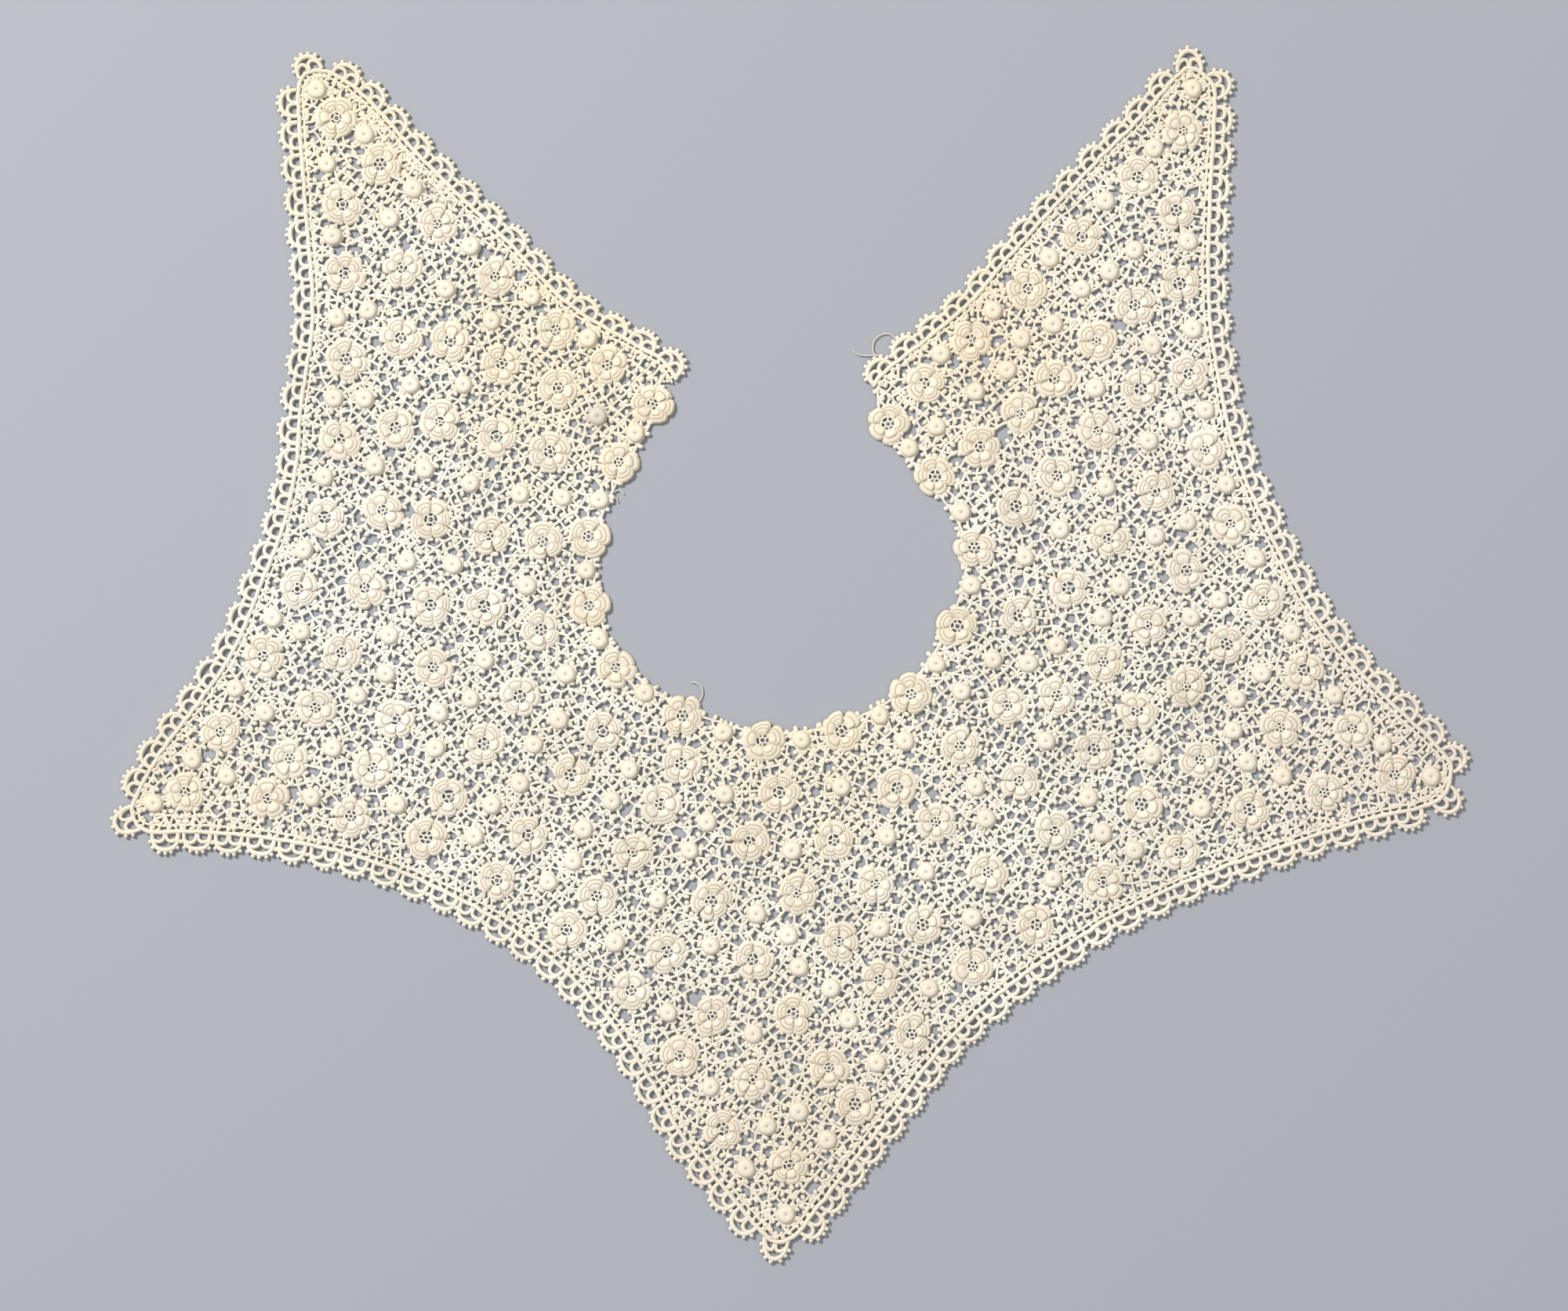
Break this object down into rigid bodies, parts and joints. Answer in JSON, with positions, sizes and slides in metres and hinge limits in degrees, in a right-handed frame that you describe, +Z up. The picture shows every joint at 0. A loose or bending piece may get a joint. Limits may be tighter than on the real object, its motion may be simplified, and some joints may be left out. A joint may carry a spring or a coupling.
{
  "type": "lace collar",
  "caption": "Five-pointed crochet lace collar laid flat: openwork ground with raised roses and padded buttons, scalloped edging, and a neck opening with an open back.",
  "frame": {"origin": "middle of the collar's box, on the surface that the collar lies on", "axes": "+Z up from the surface, out of the worked face; +X towards the wearer's left, along the longest extent; +Y towards the open back, so the front point is towards -Y"},
  "size_m": [0.5782, 0.5162, 0.0036],
  "materials": {
    "ground": "matt cotton crochet",
    "edging": "matt cotton crochet"
  },
  "bodies": {
    "root": {"ground": "ground", "edging": "edging"}
  },
  "joints": []
}
